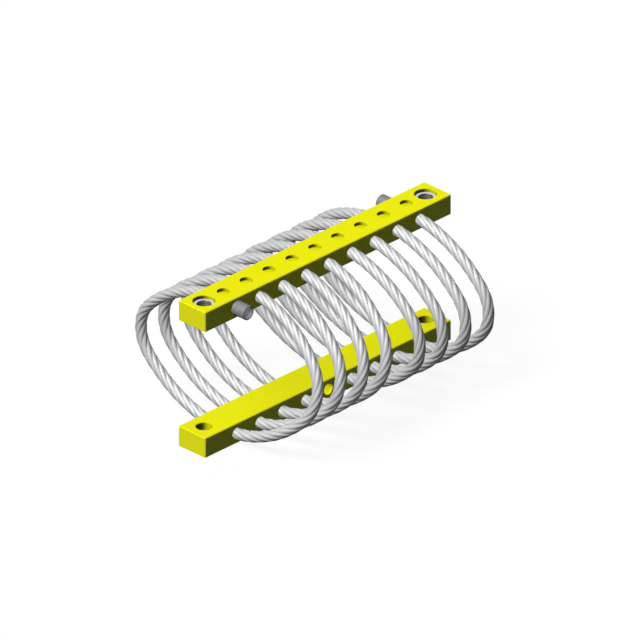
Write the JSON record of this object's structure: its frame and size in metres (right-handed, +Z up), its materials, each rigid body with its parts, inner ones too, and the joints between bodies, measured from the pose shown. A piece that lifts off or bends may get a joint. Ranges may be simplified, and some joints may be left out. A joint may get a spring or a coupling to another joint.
{
  "type": "wire rope isolator",
  "caption": "Wire rope vibration isolator: one steel rope laced in side loops through two parallel yellow bars, which bolt equipment above to a base below.",
  "frame": {"origin": "middle of the lower bar's underside, on the surface that the isolator stands on", "axes": "+X along the bars, +Y across the bars towards the back loops, +Z up from the lower bar to the upper one"},
  "size_m": [0.185, 0.1284, 0.0874],
  "materials": {
    "yellow_bar": "satin",
    "rope_steel": "satin",
    "insert_steel": "satin",
    "ferrule_steel": "satin"
  },
  "bodies": {
    "lower": {"lower_bar": "yellow_bar", "lower_insert_left": "insert_steel", "lower_insert_right": "insert_steel", "wire_rope": "rope_steel"},
    "upper": {"upper_bar": "yellow_bar", "upper_insert_left": "insert_steel", "upper_insert_right": "insert_steel", "front_rope_ferrule": "ferrule_steel", "back_rope_ferrule": "ferrule_steel"}
  },
  "joints": [
    {"name": "compression", "type": "slide", "parent": "lower", "child": "upper", "axis": [0, 0, 1], "range_m": [-0.028, 0.01], "stiffness_N_per_m": 15000, "deforming": ["wire_rope"]}
  ]
}
